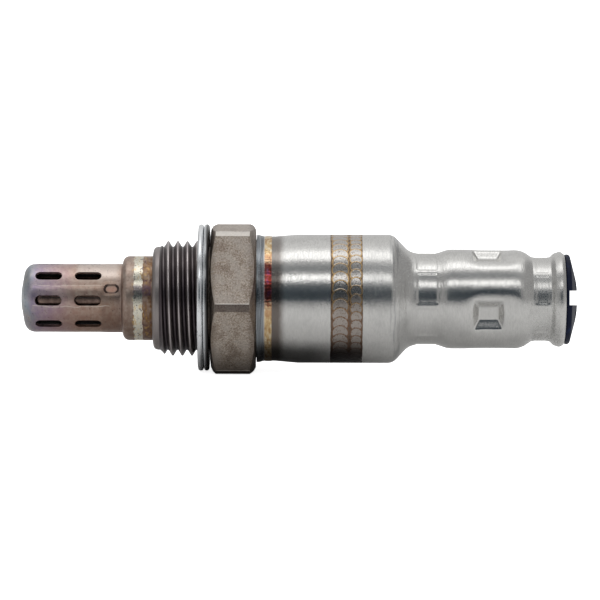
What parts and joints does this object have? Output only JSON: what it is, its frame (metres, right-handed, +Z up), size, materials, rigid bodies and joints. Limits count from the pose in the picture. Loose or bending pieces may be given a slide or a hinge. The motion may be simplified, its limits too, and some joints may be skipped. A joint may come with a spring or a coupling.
{
  "type": "exhaust oxygen sensor",
  "caption": "Screw-in exhaust oxygen sensor with a slotted tip, folded gasket, wrench hexagon and a crimped steel sleeve closed by a black rubber gland.",
  "frame": {"origin": "on the sensor's axis, in the plane of the gasket's sealing face", "axes": "+X along the sensor's axis towards the lead gland, so -X points into the exhaust; +Z up, square to a flat of the hexagon that the sensor lies on"},
  "size_m": [0.0869, 0.025, 0.0229],
  "materials": {
    "shield_steel": "heat-tinted drawn steel, grey-blue at the tip to copper brown",
    "inner_steel": "heat-dulled steel",
    "shell_steel": "matte grainy machined steel, brownish grey",
    "gasket_steel": "bright rolled sheet steel",
    "sleeve_steel": "satin stainless steel, heat tinted at the weld",
    "gland_rubber": "satin black moulded rubber",
    "zirconia": "fired ceramic",
    "steatite": "fired ceramic",
    "talc": "pressed powder",
    "alumina": "fired ceramic",
    "washer_steel": "plain sheet steel",
    "spring_steel": "plain spring steel",
    "contact_alloy": "plain nickel alloy"
  },
  "bodies": {
    "root": {"outer_shield": "shield_steel", "inner_shield": "inner_steel", "hex_shell": "shell_steel", "gasket": "gasket_steel", "outer_sleeve": "sleeve_steel", "lead_gland": "gland_rubber", "sensing_element": "zirconia", "packing_ring": "washer_steel", "front_insulator": "steatite", "talc_seal": "talc", "rear_insulator": "steatite", "seal_washer": "washer_steel", "contact_holder_upper": "alumina", "contact_holder_lower": "alumina", "holder_clip": "spring_steel", "holder_spring": "spring_steel", "terminal_insulator": "alumina", "contact_1": "contact_alloy", "contact_2": "contact_alloy", "contact_3": "contact_alloy", "contact_4": "contact_alloy"}
  },
  "joints": []
}
